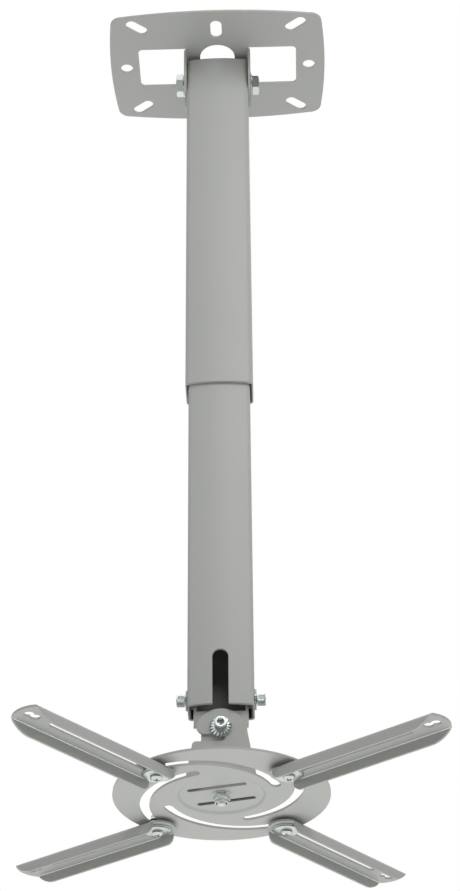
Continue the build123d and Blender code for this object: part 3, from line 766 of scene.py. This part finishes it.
# Points, triangles and corner normals of a CAD mesh, with the points that its triangles share merged
def mergedMesh(source, decimals):
    flat = np.empty(len(source.vertices) * 3, np.float32)
    source.vertices.foreach_get("co", flat)
    corners = np.empty(len(source.loops), np.int32)
    source.loops.foreach_get("vertex_index", corners)
    normals = np.empty(len(source.loops) * 3, np.float32)
    source.corner_normals.foreach_get("vector", normals)
    rounded = flat.reshape(-1, 3).astype(float).round(decimals)
    points, merged = np.unique(rounded, axis=0, return_inverse=True)
    return points, merged.reshape(-1)[corners].reshape(-1, 3), normals.reshape(-1, 3)


# u of the flanges' round cut at a height w
def cutEnd(spec, w):
    return spec["cutAt"] + np.sqrt(spec["cutRound"] ** 2 - (w - spec["cutUp"]) ** 2)


# Which points lie on an inner bend, and where u, v and w move to there
def tightBend(u, v, w, spec):
    out = np.abs(v) - spec["half"] + spec["bend"]
    above = w - spec["under"] + spec["bend"]
    away = np.hypot(out, above)
    inside = (out > -spec["margin"]) & (above > -spec["margin"])
    folded = inside & (np.abs(away - spec["bend"]) < spec["onBend"])
    shrink = spec["tight"] / np.maximum(away, spec["least"])
    newV = np.sign(v) * (spec["half"] - spec["tight"] + out * shrink)
    newW = spec["under"] - spec["tight"] + above * shrink
    outer = folded & (u > spec["cutAt"])
    slip = cutEnd(spec, np.where(outer, newW, 0)) - cutEnd(spec, np.where(outer, w, 0))
    return folded, np.stack([u + np.where(outer, slip, 0), newV, newW], -1)


def foldedArm(number, spec=armFold):
    node = "arm_%d" % number
    points, triangles, normals = mergedMesh(nodes[node].data, spec["decimals"])
    ahead = np.array(joints["reach_%d" % number]["axis"])
    axes = np.array([ahead, [-ahead[1], ahead[0], 0.0], [0.0, 0.0, 1.0]])
    origin = np.array([*joints["swing_%d" % number]["pos_m"][:2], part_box(node)[1][2]])
    u, v, w = axes @ (points - origin).T
    folded, moved = tightBend(u, v, w, spec)
    points = np.where(folded[:, None], origin + moved @ axes, points)
    piece = showMesh("armSheet_%d" % number, points, triangles.tolist())
    mesh = piece.data
    # the long strips of the tight bends take the lighter copy: a painted highlight along each fold
    highlightStrip = folded[triangles].all(1) & (np.ptp(u[triangles], axis=1) > spec["stripLength"])
    mesh.polygons.foreach_set("material_index", highlightStrip.astype(np.int32))
    mesh.normals_split_custom_set(normals.tolist())
    mesh.materials.append(armShadeCoat)
    mesh.materials.append(foldHighlightCoat)
    mesh.update()
    return standFor(piece, node)


for number in range(1, 5):
    foldedArm(number)
print("arms: done")

# Finishes of the CAD nodes that stay
for name, obj in nodes.items():
    obj.data.materials.clear()
    if name in ownCoats:
        obj.data.materials.append(ownCoats[name])
    # the tilt spacers take the darker zinc: painted shade
    elif name.startswith("tilt_spacer"):
        obj.data.materials.append(shadedZinc)
    else:
        obj.data.materials.append(coat)
print("node finishes: done")

# Floor, white surroundings and soft lamps
floorLook = {"height": -2.4, "half": 14.0, "light": (0.84, 0.84, 0.84, 1), "dark": (0.80, 0.80, 0.80, 1),
             "scale": 1.5, "roughness": 0.8, "mirrored": 0.95, "white": 0.6,
             "shadeFrom": 1.8, "shadeOver": 1.2, "shade": 0.85}
skyLook = {"ambient": 0.62, "frontDip": 0.38, "horizon": 0.10, "whiteFrom": 0.60}
lamps = {
    "frontTop": {"place": (0.35, -1.5, 0.7), "aim": (0, 0, -0.3), "size": 1.0, "power": 9.3},
    "highRight": {"place": (1.5, -1.6, 0.1), "aim": (0, 0, -0.35), "size": 1.4, "power": 4.7},
    "below": {"place": (0.0, 0.3, -2.3), "aim": (0, 0, -0.5), "size": 2.6, "power": 18.6, "mirrored": False},
    "belowFront": {"place": (0.2, -1.0, -2.2), "aim": (0, 0, -0.3), "size": 2.2, "power": 8.8,
                   "mirrored": False},
    "above": {"place": (0.3, 0.6, 1.5), "aim": (0, 0, -0.2), "size": 2.0, "power": 7.0},
    "behind": {"place": (-0.6, 2.2, 0.1), "aim": (0, 0, -0.35), "size": 1.4, "power": 10.0},
}


# Pale floor that takes shadows, lifted towards white for the camera. In the metal it is white, and
# dark where the photographer stands.
def makeFloor(look):
    half, height = look["half"], look["height"]
    mesh = bpy.data.meshes.new("floor")
    corners = [(-half, -half, height), (half, -half, height), (half, half, height), (-half, half, height)]
    mesh.from_pydata(corners, [], [(0, 1, 2, 3)])
    material, tree, shader, where = startMaterial("paleFloor")
    tone = noise(tree, where, look["scale"])
    colour = mixColour(tree, tone, look["dark"], look["light"])
    setShader(tree, shader, Base_Color=colour, Roughness=look["roughness"])
    rays = Wire.node(tree, "ShaderNodeLightPath").family()
    y = partsOf(tree, where)[1]
    near = ((0.0 - y - look["shadeFrom"]) / look["shadeOver"]).clamped()
    seen = rays["Is Glossy Ray"]
    glow = Wire.node(tree, "ShaderNodeEmission", None,
                     {"Strength": look["mirrored"] * (1.0 - look["shade"] * near * seen)})
    white = seen + look["white"] * rays["Is Camera Ray"]
    both = Wire.node(tree, "ShaderNodeMixShader", None, {0: white, 1: Wire(shader.outputs[0]), 2: glow})
    tree.links.new(both.socket, tree.nodes["Material Output"].inputs["Surface"])
    mesh.materials.append(material)
    floor = bpy.data.objects.new("floor", mesh)
    bpy.context.scene.collection.objects.link(floor)


# The sky gives the ambient light, less of it from the camera's side, and is plain white to the
# camera. In the metal it is white high up and greyer towards the horizon, as in a photographer's tent.
def makeSky(look):
    world = bpy.data.worlds.new("surroundings")
    bpy.context.scene.world = world
    world.use_nodes = True
    tree = world.node_tree
    back = tree.nodes["Background"]
    back.inputs["Color"].default_value = (1, 1, 1, 1)
    rays = Wire.node(tree, "ShaderNodeLightPath").family()
    y, z = partsOf(tree, Wire.node(tree, "ShaderNodeTexCoord", output="Generated"))[1:]
    ambient = look["ambient"] * (1.0 - look["frontDip"] * (0.0 - y).clamped())
    mirrored = look["horizon"] + (1 - look["horizon"]) * (z.size() / look["whiteFrom"]).clamped()
    seen = (rays["Is Camera Ray"] + rays["Is Transmission Ray"]).clamped()
    strength = ambient + (1.0 - ambient) * seen + (mirrored - ambient) * rays["Is Glossy Ray"]
    tree.links.new(strength.socket, back.inputs["Strength"])


def makeLamp(name, spec):
    data = bpy.data.lights.new(name, "AREA")
    data.shape = "DISK"
    data.size = spec["size"]
    data.energy = spec["power"]
    lamp = bpy.data.objects.new(name, data)
    lamp.location = spec["place"]
    aim = Vector(spec["aim"]) - Vector(spec["place"])
    lamp.rotation_euler = aim.to_track_quat("-Z", "Y").to_euler()
    lamp.visible_glossy = spec.get("mirrored", True)
    bpy.context.scene.collection.objects.link(lamp)


makeFloor(floorLook)
makeSky(skyLook)
for lampName, lampSpec in lamps.items():
    makeLamp(lampName, lampSpec)
bpy.context.scene.view_settings.view_transform = "Standard"
print("stage: done")
